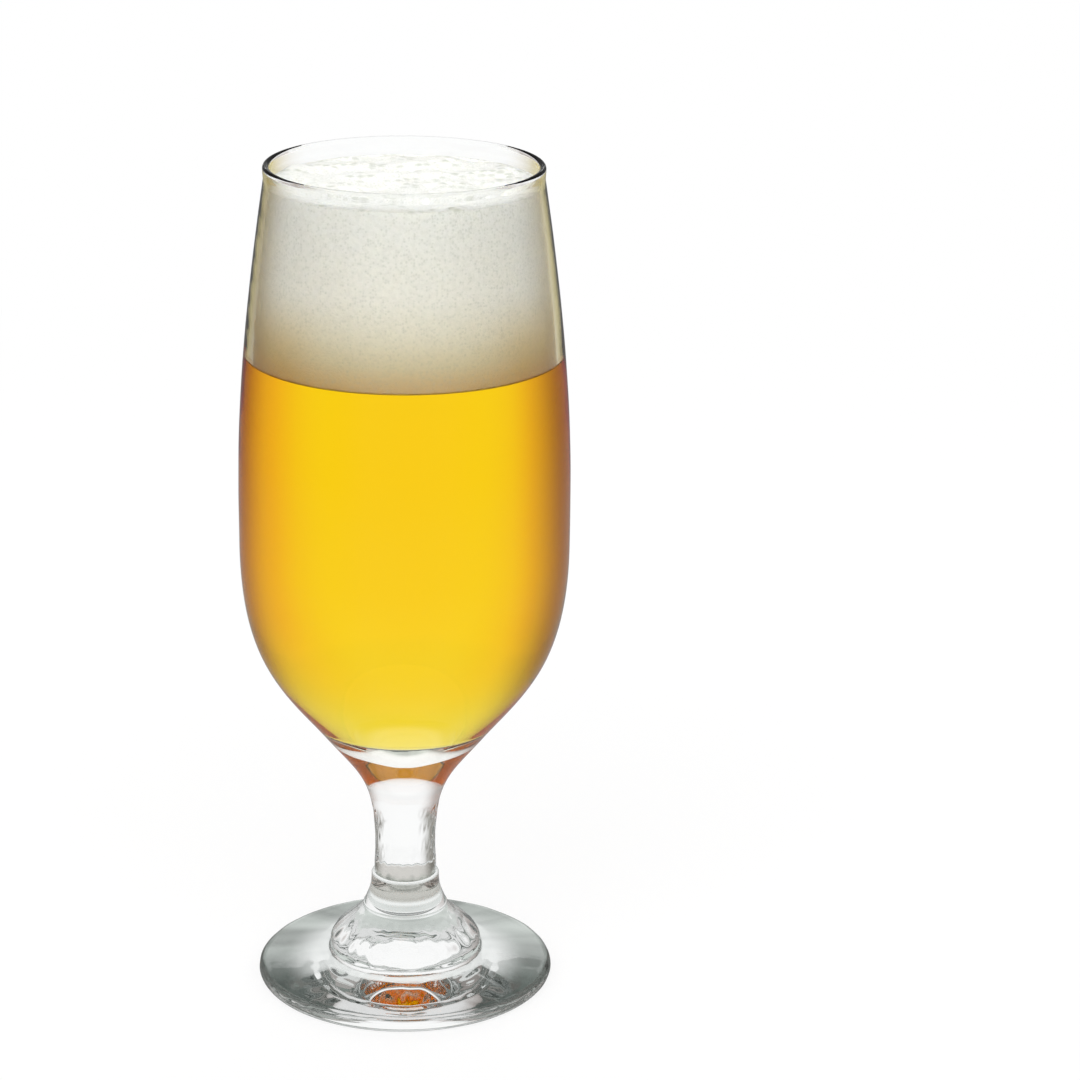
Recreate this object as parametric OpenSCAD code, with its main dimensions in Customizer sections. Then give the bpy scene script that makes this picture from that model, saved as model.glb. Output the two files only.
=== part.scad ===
// Stemmed beer goblet of clear glass, filled with beer under a head of foam.
// Every piece is a solid of revolution about Z. The foot stands on the plane z = 0.

/* [Foot] */
// Outer diameter of the foot
foot_d = 64.6; // [58:0.2:72]
// Height of the foot and its neck, up to the stem
foot_h = 24; // [21:0.5:28]
// Thickness of the foot's rounded edge
edge_t = 3.4; // [2.6:0.1:4.2]
// Height of the foot's upper face where it meets the dome
disc_h = 6; // [5:0.1:6.6]
// Diameter of the dome in the middle of the foot
dome_d = 33.2; // [30:0.2:36]
// Height of the dome's shoulder
shoulder_h = 7.4; // [6.8:0.1:8.6]
// Width of the hollow curve where the dome meets the upper face
dome_fillet = 2.6; // [1.5:0.1:4]
// Diameter of the neck at its lower end, on the seam ring
neck_base_d = 18; // [17:0.1:19]
// Diameter of the neck at its upper end, round the stem
neck_top_d = 14.8; // [14:0.1:16]
// Height of the seam ring between the dome and the neck
seam_h = 16.8; // [15:0.1:18]
// Thickness of the seam ring
seam_t = 0.7; // [0.4:0.1:1.2]
// How far the seam ring stands out from the neck
seam_proud = 0.25; // [0.1:0.05:0.5]
// Rounding of the neck's upper edge
neck_round = 0.5; // [0.2:0.1:0.8]

/* [Underside] */
// Diameter of the shallow hollow in the middle of the level underside
hollow_d = 30; // [20:0.5:50]
// Height of the hollow in its middle
hollow_h = 1.5; // [0.5:0.1:3]

/* [Stem] */
// Height of the stem between the foot and the bowl
stem_h = 18; // [15:0.5:24]
// Diameter of the stem at its waist
waist_d = 13.1; // [11:0.1:13.8]
// Height of the waist over the lower end of the stem
waist_rise = 6.5; // [5:0.1:8]
// Diameter of the stem at its lower end
stem_foot_d = 13.5; // [13:0.1:14]

/* [Bowl] */
// Height of the bowl over the stem
bowl_h = 140; // [130:1:160]
// Outer diameter across the lip
rim_d = 58.4; // [52:0.2:64]
// Outer diameter of the belly, the widest part of the bowl
belly_d = 70.3; // [66:0.1:76]
// Height of the belly over the lower end of the bowl
belly_rise = 59; // [55:0.5:64]
// Outer diameter where the flare turns into the round of the bowl
flare_d = 35; // [32:0.5:38]
// Height of that turn over the lower end of the bowl
flare_rise = 15; // [13:0.5:18]
// Wall at the belly
belly_wall = 2.1; // [1.4:0.1:2.6]
// Wall below the lip
rim_wall = 1.2; // [0.9:0.1:1.3]
// Thickness of the rounded lip
lip_t = 1.4; // [1.4:0.1:2]
// Solid glass between the lower end of the bowl and the lowest point of its inside
floor_t = 13.5; // [12:0.5:15]
// Glass straight above the turn of the flare, where the shallow cone of the inner floor ends
flare_wall = 3.9; // [3.2:0.1:5]
// Diameter of the cone's rounded tip
tip_d = 5; // [3:0.5:10]
// Rounding where the cone turns up into the wall
cone_round = 1.5; // [1:0.1:2.5]

/* [Drink] */
// Depth of the headspace between the foam and the lip
headspace = 3; // [2.5:0.5:20]
// Height of the head of foam
foam_h = 37; // [15:1:60]
// Gap between the drink and the glass
film_gap = 0.05; // [0.02:0.01:0.1]

/* [Hidden] */
$fn = 96;
curve_steps = 20;
short_steps = 8;
overrun = 1;

// How far each curve keeps the direction that it starts or ends with
belly_pull_up = 16;
rim_pull_down = 46;
belly_pull_down = 26.5;
flare_pull_up = 12;
flare_pull_down = 9;
waist_pull_up = 15.3;
cup_pull_down = 26;
cup_pull_up = 8;
stem_pull = 2.5;
dome_pull_up = 3.3;
dome_pull_out = 2.2;
dome_pull_down = 3.1;
neck_pull = 3;

// How much of the taper from the belly to the lip still lies ahead of the lip's pull
taper_share = 1.1;
// Run over rise of the flare at its turn
flare_lean_share = 0.8;
// Run over rise of the bowl's inside over the cone of its floor
cup_lean_share = 0.85;
// Run over rise of the neck at its lower end
neck_lean_share = 0.4;

edge_r = edge_t / 2;
lip_r = lip_t / 2;
bowl_z = foot_h + stem_h;
rim_z = bowl_z + bowl_h;
waist_z = foot_h + waist_rise;
belly_z = bowl_z + belly_rise;
flare_z = bowl_z + flare_rise;
floor_z = bowl_z + floor_t;
foam_top_z = rim_z - headspace;
beer_top_z = foam_top_z - foam_h;

// The wall below the lip is thinner than the lip and centred under it
lip_mid_r = rim_d / 2 - lip_r;
lip_mid_z = rim_z - lip_r;
lip_dip = acos(rim_wall / lip_t);
wall_top_z = lip_mid_z - lip_r * sin(lip_dip);
wall_out_r = lip_mid_r + rim_wall / 2;
wall_in_r = lip_mid_r - rim_wall / 2;

// Points of the curve from a to d that leaves towards b and arrives from c
function curve(a, b, c, d, steps = curve_steps) = [
    for (i = [0:steps])
        let (t = i / steps, u = 1 - t)
            u * u * u * a + 3 * u * u * t * b + 3 * u * t * t * c + t * t * t * d
];

// Points of the arc of radius r about m from angle from to angle to
function arc(m, r, from, to, steps = short_steps) = [
    for (i = [0:steps])
        let (w = from + (to - from) * i / steps)
            m + r * [cos(w), sin(w)]
];

// The points of a list without its first one, so that joined curves share no point
function tail(points) = [for (i = [1:len(points) - 1]) points[i]];
function reversed(points) = [for (i = [len(points) - 1:-1:0]) points[i]];

// Where the curve of a wall under the lip is pulled to, from its radius at the belly and at the lip
function taper_pull(at_belly, at_lip) =
    [at_lip + taper_share * (at_belly - at_lip), wall_top_z - rim_pull_down];

// Outside of the stem and the bowl, from the lower end of the stem up to the lip
function outer_wall() = concat(
    curve([stem_foot_d / 2, foot_h],
          [stem_foot_d / 2, foot_h] + [0, stem_pull],
          [waist_d / 2, waist_z - stem_pull],
          [waist_d / 2, waist_z], short_steps),
    tail(curve([waist_d / 2, waist_z],
               [waist_d / 2, waist_z + waist_pull_up],
               [flare_d / 2, flare_z] - flare_pull_down * [flare_lean_share, 1],
               [flare_d / 2, flare_z])),
    tail(curve([flare_d / 2, flare_z],
               [flare_d / 2, flare_z] + flare_pull_up * [flare_lean_share, 1],
               [belly_d / 2, belly_z - belly_pull_down],
               [belly_d / 2, belly_z])),
    tail(curve([belly_d / 2, belly_z],
               [belly_d / 2, belly_z + belly_pull_up],
               taper_pull(belly_d / 2, wall_out_r),
               [wall_out_r, wall_top_z]))
);

// Inside of the bowl moved in by gap, from the tip of the cone in its floor up to the lip
function inner_wall(gap = 0) =
    let (
        inside_r = belly_d / 2 - belly_wall - gap,
        tip = [0, floor_z + gap],
        // The tip's round leaves level and ends along the cone, and its end lines cross here
        tip_turn = tip + [tip_d / 4, 0],
        // The cone ends at this corner, straight above the turn of the flare
        corner = [flare_d / 2, flare_z + flare_wall] + [-gap, gap],
        outward = (corner - tip_turn) / (corner[0] - tip_turn[0]),
        upward = [cup_lean_share, 1],
        wall_start = corner + cone_round * upward
    )
    concat(
        curve(tip, tip_turn, tip_turn, tip_turn + tip_d / 4 * outward, short_steps),
        curve(corner - cone_round * outward, corner, corner, wall_start, short_steps),
        tail(curve(wall_start,
                   wall_start + cup_pull_up * upward,
                   [inside_r, belly_z - cup_pull_down],
                   [inside_r, belly_z])),
        tail(curve([inside_r, belly_z],
                   [inside_r, belly_z + belly_pull_up],
                   taper_pull(inside_r, wall_in_r - gap),
                   [wall_in_r - gap, wall_top_z]))
    );

// Half section of the stem and the bowl as one outline
module goblet_section() {
    polygon(concat(
        [[0, foot_h]],
        outer_wall(),
        tail(arc([lip_mid_r, lip_mid_z], lip_r, -lip_dip, 180 + lip_dip, curve_steps)),
        tail(reversed(inner_wall()))
    ));
}

// Half section of the hollow that the drink fills
module cup_section() {
    polygon(concat(inner_wall(film_gap), [[0, wall_top_z]]));
}

// Turns the part of a half section between two heights into a solid
module turned(low_z, high_z) {
    rotate_extrude() intersection() {
        children();
        translate([0, low_z]) square([belly_d, high_z - low_z]);
    }
}

module foot() {
    edge_mid_r = foot_d / 2 - edge_r;
    dome_r = dome_d / 2;
    seam_mid_z = seam_h - seam_t / 2;
    seam_low_z = seam_h - seam_t;
    seam_r = neck_base_d / 2 + seam_proud;
    neck_r = neck_top_d / 2;
    dome_foot_r = dome_r + dome_fillet;
    hollow_r = hollow_d / 2;
    color([0.80, 0.87, 0.87, 0.45]) rotate_extrude() polygon(concat(
        // Hollow in the middle of the level underside
        curve([0, hollow_h],
              [hollow_r / 2, hollow_h],
              [hollow_r / 2, 0],
              [hollow_r, 0]),
        // Rounded edge
        arc([edge_mid_r, edge_r], edge_r, -90, 90),
        // Upper face, then the hollow curve up to the dome's shoulder
        curve([dome_foot_r, disc_h],
              [dome_r, disc_h],
              [dome_r, disc_h],
              [dome_r, shoulder_h], short_steps),
        // Dome up to the seam ring
        tail(curve([dome_r, shoulder_h],
                   [dome_r, shoulder_h + dome_pull_up],
                   [seam_r + dome_pull_out, seam_low_z - dome_pull_down],
                   [seam_r, seam_low_z])),
        tail(arc([neck_base_d / 2 + seam_proud - seam_t / 2, seam_mid_z], seam_t / 2, 0, 60)),
        // Neck up to the stem
        curve([neck_base_d / 2, seam_h],
              [neck_base_d / 2, seam_h] + neck_pull * [-neck_lean_share, 1],
              [neck_r, foot_h - neck_round - neck_pull],
              [neck_r, foot_h - neck_round], short_steps),
        tail(arc([neck_r - neck_round, foot_h - neck_round], neck_round, 0, 90)),
        [[0, foot_h]]
    ));
}

module stem() {
    color([0.86, 0.92, 0.92, 0.45]) turned(foot_h, bowl_z) goblet_section();
}

module bowl() {
    color([0.90, 0.95, 0.95, 0.30]) turned(bowl_z, rim_z + overrun) goblet_section();
}

module beer() {
    color([0.98, 0.74, 0.10, 0.90]) turned(floor_z, beer_top_z) cup_section();
}

module foam_head() {
    color([0.95, 0.94, 0.88]) turned(beer_top_z, foam_top_z) cup_section();
}

foot();
stem();
bowl();
beer();
foam_head();
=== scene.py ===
"""Looks of a stemmed beer goblet: clear pressed and blown glass, golden beer and a head of foam.

Every piece is a solid of revolution about Z with small uneven waves, worked out with numpy in
millimetres and put into its mesh in metres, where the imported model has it.
"""

import logging
import math
from dataclasses import dataclass, field, replace
from enum import Enum
from typing import Any, Union

import bpy
import numpy as np
from mathutils import Matrix, Vector


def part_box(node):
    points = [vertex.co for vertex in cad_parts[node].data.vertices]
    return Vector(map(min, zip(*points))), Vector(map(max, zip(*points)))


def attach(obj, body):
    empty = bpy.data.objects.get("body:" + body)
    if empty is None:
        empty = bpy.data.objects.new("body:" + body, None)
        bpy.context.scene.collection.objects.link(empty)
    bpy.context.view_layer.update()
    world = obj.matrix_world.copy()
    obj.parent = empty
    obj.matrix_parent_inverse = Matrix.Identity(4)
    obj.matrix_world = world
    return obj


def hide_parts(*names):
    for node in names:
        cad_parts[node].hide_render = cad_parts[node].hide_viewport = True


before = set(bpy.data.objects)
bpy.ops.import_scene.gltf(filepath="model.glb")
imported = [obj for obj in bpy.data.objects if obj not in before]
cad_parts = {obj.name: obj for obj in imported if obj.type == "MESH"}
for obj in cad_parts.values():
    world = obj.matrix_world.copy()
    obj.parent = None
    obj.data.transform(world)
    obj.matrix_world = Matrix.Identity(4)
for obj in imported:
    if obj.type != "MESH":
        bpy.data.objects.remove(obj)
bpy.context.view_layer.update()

LOG = logging.getLogger("beer_goblet")
MM = 0.001
FILM_GAP = 0.05
SAME_HEIGHT = 1e-6
TINY = 1e-12
BODY = "root"

Colour = tuple[float, float, float]
Point = tuple[float, float]
Stops = tuple[tuple[float, Colour], ...]
Material = bpy.types.Material
Piece = bpy.types.Object
Socket = bpy.types.NodeSocket
Sockets = bpy.types.bpy_prop_collection
Tree = bpy.types.NodeTree
Value = Union[float, Colour, Socket]

WHITE: Colour = (1.0, 1.0, 1.0)
BLACK: Colour = (0.0, 0.0, 0.0)


class Node(Enum):
    """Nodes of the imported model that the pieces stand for."""

    FOOT = "foot"
    STEM = "stem"
    BOWL = "bowl"
    BEER = "beer"
    FOAM_HEAD = "foam_head"


class Slot(Enum):
    """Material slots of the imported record."""

    FOOT_GLASS = "foot_glass"
    STEM_GLASS = "stem_glass"
    BOWL_GLASS = "bowl_glass"
    BEER = "beer"
    FOAM = "beer_foam"


class Face(Enum):
    """What a stretch of a piece's surface is or meets, which sets its material."""

    SHOWN = 0
    FUSED = 1
    WETTED = 2
    LIP = 3
    FILMED = 4


class Kind(Enum):
    """Socket types of a node group."""

    NUMBER = "NodeSocketFloat"
    COLOUR = "NodeSocketColor"


def node_diameter(node: Node) -> float:
    """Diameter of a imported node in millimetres."""
    low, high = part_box(node.value)
    return (high.x - low.x) / MM


def node_heights(node: Node) -> tuple[float, float]:
    """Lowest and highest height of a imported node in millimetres."""
    low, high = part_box(node.value)
    return low.z / MM, high.z / MM


def curve(start: Point, leave: Point, arrive: Point, end: Point, steps: int = 64) -> np.ndarray:
    """Cubic curve that leaves its start towards one point and arrives at its end from another.

    Formula: the four points weighted by (1-t)^3, 3(1-t)^2 t, 3(1-t) t^2 and t^3, for t from 0 to 1.

    Args:
        start: First point, as radius and height.
        leave: Point that the curve leaves towards.
        arrive: Point that the curve arrives from.
        end: Last point.
        steps: Number of straight steps.

    Returns:
        Array of steps + 1 rows of radius and height.
    """
    t = np.linspace(0, 1, steps + 1)[:, None]
    u = 1 - t
    a, b, c, d = (np.asarray(p, float) for p in (start, leave, arrive, end))
    return u**3 * a + 3 * u**2 * t * b + 3 * u * t**2 * c + t**3 * d


def arc(middle: Point, radius: float, first: float, last: float, steps: int = 16) -> np.ndarray:
    """Arc of a circle: middle + radius * (cos w, sin w), for w from the first angle to the last.

    Args:
        middle: Centre, as radius and height.
        radius: Radius of the arc.
        first: First angle in degrees.
        last: Last angle in degrees.
        steps: Number of straight steps.

    Returns:
        Array of steps + 1 rows of radius and height.
    """
    w = np.radians(np.linspace(first, last, steps + 1))
    return np.asarray(middle, float) + radius * np.column_stack((np.cos(w), np.sin(w)))


def line(start: Point, end: Point, steps: int = 8) -> np.ndarray:
    """Straight stretch of a half section in equal steps."""
    t = np.linspace(0, 1, steps + 1)[:, None]
    return (1 - t) * np.asarray(start, float) + t * np.asarray(end, float)


def joined(*stretches: np.ndarray) -> np.ndarray:
    """One run of points from stretches that share their end points."""
    return np.vstack([stretches[0], *(s[1:] for s in stretches[1:])])


def between(points: np.ndarray, low: float | None = None, high: float | None = None) -> np.ndarray:
    """Part of a run between two heights, with its ends cut exactly there.

    Args:
        points: Run that is level or rises all the way.
        low: Lower height, or None to keep the run's own start.
        high: Upper height, or None to keep the run's own end.

    Returns:
        Its points between the heights, and one at each that is given.
    """
    r, z = points.T
    first = [] if low is None else [[np.interp(low, z, r), low]]
    last = [] if high is None else [[np.interp(high, z, r), high]]
    above = z > (low if first else -np.inf) + SAME_HEIGHT
    below = z < (high if last else np.inf) - SAME_HEIGHT
    return np.vstack([*first, points[above & below], *last])


def smooth_step(x: np.ndarray) -> np.ndarray:
    """Eases from 0 to 1 as x goes from 0 to 1: x^2 (3 - 2x), held at both ends."""
    x = np.clip(x, 0, 1)
    return x * x * (3 - 2 * x)


@dataclass(frozen=True)
class Waves:
    """Slight unevenness of pressed or blown glass.

    Formula: height times the mean of cos(k * angle + turn_k + along * rate_k) over whole numbers k
    of waves round the piece, with turns and rates drawn from the seed. A rate is at most
    twist * (1 + k) turns over the longest length, so a small twist leaves the waves upright.
    """

    height: float
    seed: int
    counts: tuple[int, ...] = (1, 2, 3, 5, 8, 13)
    longest: float = 60.0
    twist: float = 1.0

    def at(self, angle: np.ndarray, along: np.ndarray) -> np.ndarray:
        """Works out the waves by the class's formula.

        Args:
            angle: Angles round the piece in radians.
            along: Lengths along the section in millimetres.

        Returns:
            Heights in millimetres.
        """
        draw = np.random.default_rng(self.seed)
        total = np.zeros(np.broadcast(angle, along).shape)
        for k in self.counts:
            turn = draw.uniform(0, 2 * np.pi)
            rate = draw.uniform(-1, 1) * 2 * np.pi * self.twist * (1 + k) / self.longest
            total += np.cos(k * angle + turn + rate * along)
        return self.height * total / len(self.counts)


@dataclass(frozen=True)
class Run:
    """Smooth stretch of a half section, as rows of radius and height.

    Its waves are along the surface's own normal and fade out at both ends. The next run starts
    with a crease, unless crease is off.
    """

    points: np.ndarray
    face: Face = Face.SHOWN
    waves: Waves | None = None
    fade: float = 3.0
    crease: bool = True

    def grid(self, angle: np.ndarray) -> np.ndarray:
        """Surface of the stretch turned about Z.

        Formula: each point moved along the section's normal by its wave, then turned by the angle.

        Args:
            angle: Row of angles in radians.

        Returns:
            Array of rings by angles by x, y and z.
        """
        r, z = (column[:, None] + np.zeros(angle.size) for column in self.points.T)
        if self.waves is not None:
            way = np.gradient(self.points, axis=0)
            way = way / np.maximum(np.hypot(*way.T), TINY)[:, None]
            step = np.hypot(*np.diff(self.points, axis=0).T)
            along = np.concatenate([[0], np.cumsum(step)])
            ends = np.minimum(along, along[-1] - along) / self.fade
            held = smooth_step(ends) * smooth_step(self.points[:, 0] / self.fade)
            shift = held[:, None] * self.waves.at(angle[None, :], along[:, None])
            r, z = r + way[:, 1:2] * shift, z - way[:, 0:1] * shift
        return np.stack((r * np.cos(angle), r * np.sin(angle), z), axis=-1)


def put(name: str, data: bpy.types.ID) -> Piece:
    """Makes an object of a mesh, camera or lamp.

    Args:
        name: Name of the object.
        data: What the object shows.

    Returns:
        The object, linked to the scene.
    """
    piece = bpy.data.objects.new(name, data)
    bpy.context.scene.collection.objects.link(piece)
    return piece


def put_mesh(
    name: str, verts: np.ndarray, faces: list, materials: np.ndarray, groups: np.ndarray
) -> Piece:
    """Makes a mesh object from arrays.

    Args:
        name: Name of the object and its mesh.
        verts: Rows of x, y and z in millimetres.
        faces: Faces as lists of vertex numbers.
        materials: Material number of each face.
        groups: Number of the crease that each vertex is on, or -1. An edge along one is sharp.

    Returns:
        The object, linked to the scene.
    """
    mesh = bpy.data.meshes.new(name)
    mesh.from_pydata((verts * MM).tolist(), [], faces)
    mesh.update()
    mesh.polygons.foreach_set("use_smooth", np.ones(len(faces), bool))
    mesh.polygons.foreach_set("material_index", materials.astype(np.int32))
    ends = np.zeros(2 * len(mesh.edges), np.int32)
    mesh.edges.foreach_get("vertices", ends)
    first, second = groups[ends.reshape(-1, 2)].T
    sharp = mesh.attributes.new("sharp_edge", "BOOLEAN", "EDGE")
    sharp.data.foreach_set("value", (first >= 0) & (first == second))
    mesh.update()
    return put(name, mesh)


def turned_solid(name: str, runs: list[Run], segments: int = 192) -> Piece:
    """Closed solid of revolution from runs that start and end on the axis.

    The runs go from the axis round the outside and back, so that the faces point outwards. Rings of
    points are joined by four-sided faces and closed at both poles.

    Args:
        name: Name of the piece.
        runs: Stretches of its half section, end to end.
        segments: Points in each ring.

    Returns:
        The object.
    """
    angle = np.arange(segments) * 2 * np.pi / segments
    grids, bands, creases = [], [], []
    rings = 0
    for number, run in enumerate(runs):
        grid = run.grid(angle)
        grids.append(grid if number == 0 else grid[1:])
        bands += [run.face.value] * (len(grid) - 1)
        rings += len(grids[-1])
        if run.crease and number < len(runs) - 1:
            creases.append(rings - 1)
    grid = np.concatenate(grids)
    inner = grid[1:-1]
    verts = np.vstack([grid[0, :1], inner.reshape(-1, 3), grid[-1, :1]])
    ring = 1 + np.arange(len(inner))[:, None] * segments
    here, after = np.arange(segments), (np.arange(segments) + 1) % segments
    quads = np.stack(
        (ring[:-1] + here, ring[:-1] + after, ring[1:] + after, ring[1:] + here), axis=-1
    ).reshape(-1, 4)
    last = np.full(segments, len(verts) - 1)
    low_fan = np.column_stack((np.zeros(segments, int), 1 + after, 1 + here))
    high_fan = np.column_stack((ring[-1] + here, ring[-1] + after, last))
    bands = bands[1:-1] + [bands[0], bands[-1]]
    groups = np.full(len(verts), -1)
    for crease in creases:
        first = 1 + (crease - 1) * segments
        groups[first:first + segments] = crease
    faces = quads.tolist() + low_fan.tolist() + high_fan.tolist()
    return put_mesh(name, verts, faces, np.repeat(bands, segments), groups)


@dataclass
class Desk:
    """Adds and joins the nodes of one tree. A value is a socket, a number or a colour."""

    tree: Tree

    def add(self, kind: str, **settings: Any) -> bpy.types.Node:
        """Adds a shader node.

        Args:
            kind: Type of the node, without its first words.
            settings: Plain properties by name.

        Returns:
            The node.
        """
        node = self.tree.nodes.new("ShaderNode" + kind)
        for key, value in settings.items():
            setattr(node, key, value)
        return node

    def find(self, kind: str) -> bpy.types.Node:
        """First node of a type."""
        return next(node for node in self.tree.nodes if node.type == kind)

    def feed(self, socket: Socket, value: Value) -> None:
        """Gives an input its value.

        Args:
            socket: The input.
            value: Its value.
        """
        if isinstance(value, Socket):
            self.tree.links.new(value, socket)
        else:
            socket.default_value = (*value, 1.0) if socket.type == "RGBA" else value

    def fill(self, node: bpy.types.Node, **values: Value) -> bpy.types.Node:
        """Feeds inputs by name.

        Args:
            node: Node to feed.
            values: Values by name, with _ for a space.

        Returns:
            The same node.
        """
        for key, value in values.items():
            self.feed(node.inputs[key.replace("_", " ")], value)
        return node

    def work(self, kind: str, *values: Value, **settings: Any) -> Socket:
        """Adds a node and feeds its inputs in order.

        Args:
            kind: As for add.
            values: Values of the inputs.
            settings: As for add.

        Returns:
            The node's first output.
        """
        node = self.add(kind, **settings)
        for socket, value in zip(node.inputs, values):
            self.feed(socket, value)
        return node.outputs[0]

    def math(self, operation: str, *values: Value) -> Socket:
        """Result of a Math node."""
        return self.work("Math", *values, operation=operation)

    def times(self, first: Value, second: Value) -> Socket:
        """Product of two numbers."""
        return self.math("MULTIPLY", first, second)

    def most(self, first: Value, second: Value) -> Socket:
        """Larger of two numbers."""
        return self.math("MAXIMUM", first, second)

    def vector(self, operation: str, *values: Value) -> Sockets:
        """Outputs of a Vector Math node."""
        return self.work("VectorMath", *values, operation=operation).node.outputs

    def place(self, kind: str = "Object") -> Socket:
        """Place on the surface in the object's own coordinates, or another kind of them."""
        return self.add("TexCoord").outputs[kind]

    def axes(self, place: Socket) -> Sockets:
        """Parts of a place along X, Y and Z."""
        return self.work("SeparateXYZ", place).node.outputs

    def facing(self) -> Socket:
        """Number that is 0 where a surface faces the eye and 1 where it is seen along its skin."""
        return self.add("LayerWeight").outputs["Facing"]

    def noise(self, place: Socket, scale: Value, detail: float) -> Socket:
        """Noise about 0.5."""
        return self.fill(self.add("TexNoise"), Vector=place, Scale=scale, Detail=detail).outputs[0]

    def bump(self, height: Socket, strength: float, distance: float) -> Socket:
        """Normal of a surface with small heights, whose distance is in millimetres."""
        values = {"Height": height, "Strength": strength, "Distance": distance * MM}
        return self.fill(self.add("Bump"), **values).outputs[0]

    def mix(self, share: Value, first: Value, second: Value, blend: str = "MIX") -> Socket:
        """Mixes two colours.

        Args:
            share: Share of the mix, from 0 for the first colour to 1.
            first: First colour.
            second: Second colour.
            blend: Way to mix them.

        Returns:
            The colour.
        """
        # The colours of a Mix node are its inputs 6 and 7 and its output 2
        node = self.add("Mix", data_type="RGBA", blend_type=blend)
        for number, value in zip((0, 6, 7), (share, first, second)):
            self.feed(node.inputs[number], value)
        return node.outputs[2]

    def tinted(self, first: Value, second: Value) -> Socket:
        """One colour times another."""
        return self.mix(1.0, first, second, "MULTIPLY")

    def span(self, value: Value, low: Value, high: Value, to: float = 0.0, end: float = 1.0) -> Socket:
        """Value carried from low and high to two others by a smooth step, held at both ends."""
        return self.work("MapRange", value, low, high, to, end, interpolation_type="SMOOTHSTEP")

    def ramp(self, value: Value, stops: Stops) -> Socket:
        """Colour along a ramp.

        Args:
            value: Place along the ramp, from 0 to 1.
            stops: Places and their colours.

        Returns:
            The colour there.
        """
        colour = self.work("ValToRGB", value)
        elements = colour.node.color_ramp.elements
        while len(elements) < len(stops):
            elements.new(1.0)
        for element, (place, tone) in zip(elements, stops):
            element.position, element.color = place, (*tone, 1.0)
        return colour

    def group(self, tree: Tree, **values: Value) -> Sockets:
        """Places a node group, feeds its inputs by name and gives its outputs."""
        return self.fill(self.add("Group", node_tree=tree), **values).outputs


def new_group(name: str, takes: dict[Kind, str], gives: dict[Kind, str]) -> tuple[Desk, Sockets, Sockets]:
    """Starts a shader node group.

    Args:
        name: Name of the group.
        takes: Names of its inputs by kind.
        gives: Names of its outputs by kind.

    Returns:
        Its desk, the sockets that it is given and those that its results go to.
    """
    tree = bpy.data.node_groups.new(name, "ShaderNodeTree")
    for side, entries in (("INPUT", takes), ("OUTPUT", gives)):
        for kind, names in entries.items():
            for label in names.split():
                tree.interface.new_socket(name=label, in_out=side, socket_type=kind.value)
    given, result = tree.nodes.new("NodeGroupInput"), tree.nodes.new("NodeGroupOutput")
    return Desk(tree), given.outputs, result.inputs


def edge_shade_tint_group() -> Tree:
    """Painted shade of a clear surface from where it faces the eye to where it is seen along its skin.

    The facing value is eased between Start and End, the height between Low and High, and the
    product of the two mixes the Clear colour into the Edge colour. Where the facing comes in, the
    Edge colour is painted shade along the skin; held at 1, it is a plain tint by height.

    Returns:
        The group.
    """
    takes = {Kind.NUMBER: "Facing Start End Low High", Kind.COLOUR: "Clear Edge"}
    desk, given, result = new_group("edge_shade_tint", takes, {Kind.COLOUR: "Color"})
    turned = desk.span(given["Facing"], given["Start"], given["End"])
    raised = desk.span(desk.axes(desk.place())[2], given["Low"], given["High"])
    # Painted shade: the Edge colour laid over the Clear colour where the surface is seen along its skin.
    tint = desk.mix(desk.times(turned, raised), given["Clear"], given["Edge"])
    desk.feed(result["Color"], tint)
    return desk.tree


def melt_group(detail: float = 1.5) -> Tree:
    """Height of the faint streaks and ripples that molten glass keeps when it sets.

    Noise on Object coordinates, stretched along Z, times Depth.

    Args:
        detail: Detail of the noise.

    Returns:
        The group.
    """
    takes = {Kind.NUMBER: "Scale Stretch Depth"}
    desk, given, result = new_group("melt_streaks", takes, {Kind.NUMBER: "Height"})
    stretch = desk.work("CombineXYZ", 1.0, 1.0, given["Stretch"])
    place = desk.vector("MULTIPLY", desk.place(), stretch)[0]
    desk.feed(result["Height"], desk.times(desk.noise(place, given["Scale"], detail), given["Depth"]))
    return desk.tree


def bubble_group(middle: float = 0.15, wall: float = 0.75) -> Tree:
    """Packed bubbles of foam: a dome in each cell of a Voronoi pattern.

    Dome is 1 in a bubble's middle and 0 at its wall. Pit marks the cells that have burst.

    Args:
        middle: Distance from a cell's point where the dome starts to fall.
        wall: Distance where it ends.

    Returns:
        The group.
    """
    takes, gives = {Kind.NUMBER: "Scale Burst"}, {Kind.NUMBER: "Dome Pit"}
    desk, given, result = new_group("packed_bubbles", takes, gives)
    cells = desk.fill(desk.add("TexVoronoi", feature="F1"), Vector=desk.place(), Scale=given["Scale"])
    dome = desk.span(cells.outputs["Distance"], middle, wall, 1.0, 0.0)
    tone = desk.work("SeparateColor", cells.outputs["Color"])
    burst = desk.math("LESS_THAN", tone, given["Burst"])
    desk.feed(result["Dome"], dome)
    desk.feed(result["Pit"], desk.times(burst, dome))
    return desk.tree


@dataclass(frozen=True)
class SharedGroups:
    """Node groups that more than one material uses."""

    edge_shade_tint: Tree = field(default_factory=edge_shade_tint_group)
    melt: Tree = field(default_factory=melt_group)
    bubbles: Tree = field(default_factory=bubble_group)


def new_material(name: str) -> tuple[Material, Desk, bpy.types.Node]:
    """Starts a node material.

    Args:
        name: Name of the material.

    Returns:
        The material, the desk of its tree and its Principled node.
    """
    material = bpy.data.materials.new(name)
    material.use_nodes = True
    desk = Desk(material.node_tree)
    return material, desk, desk.find("BSDF_PRINCIPLED")


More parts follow.
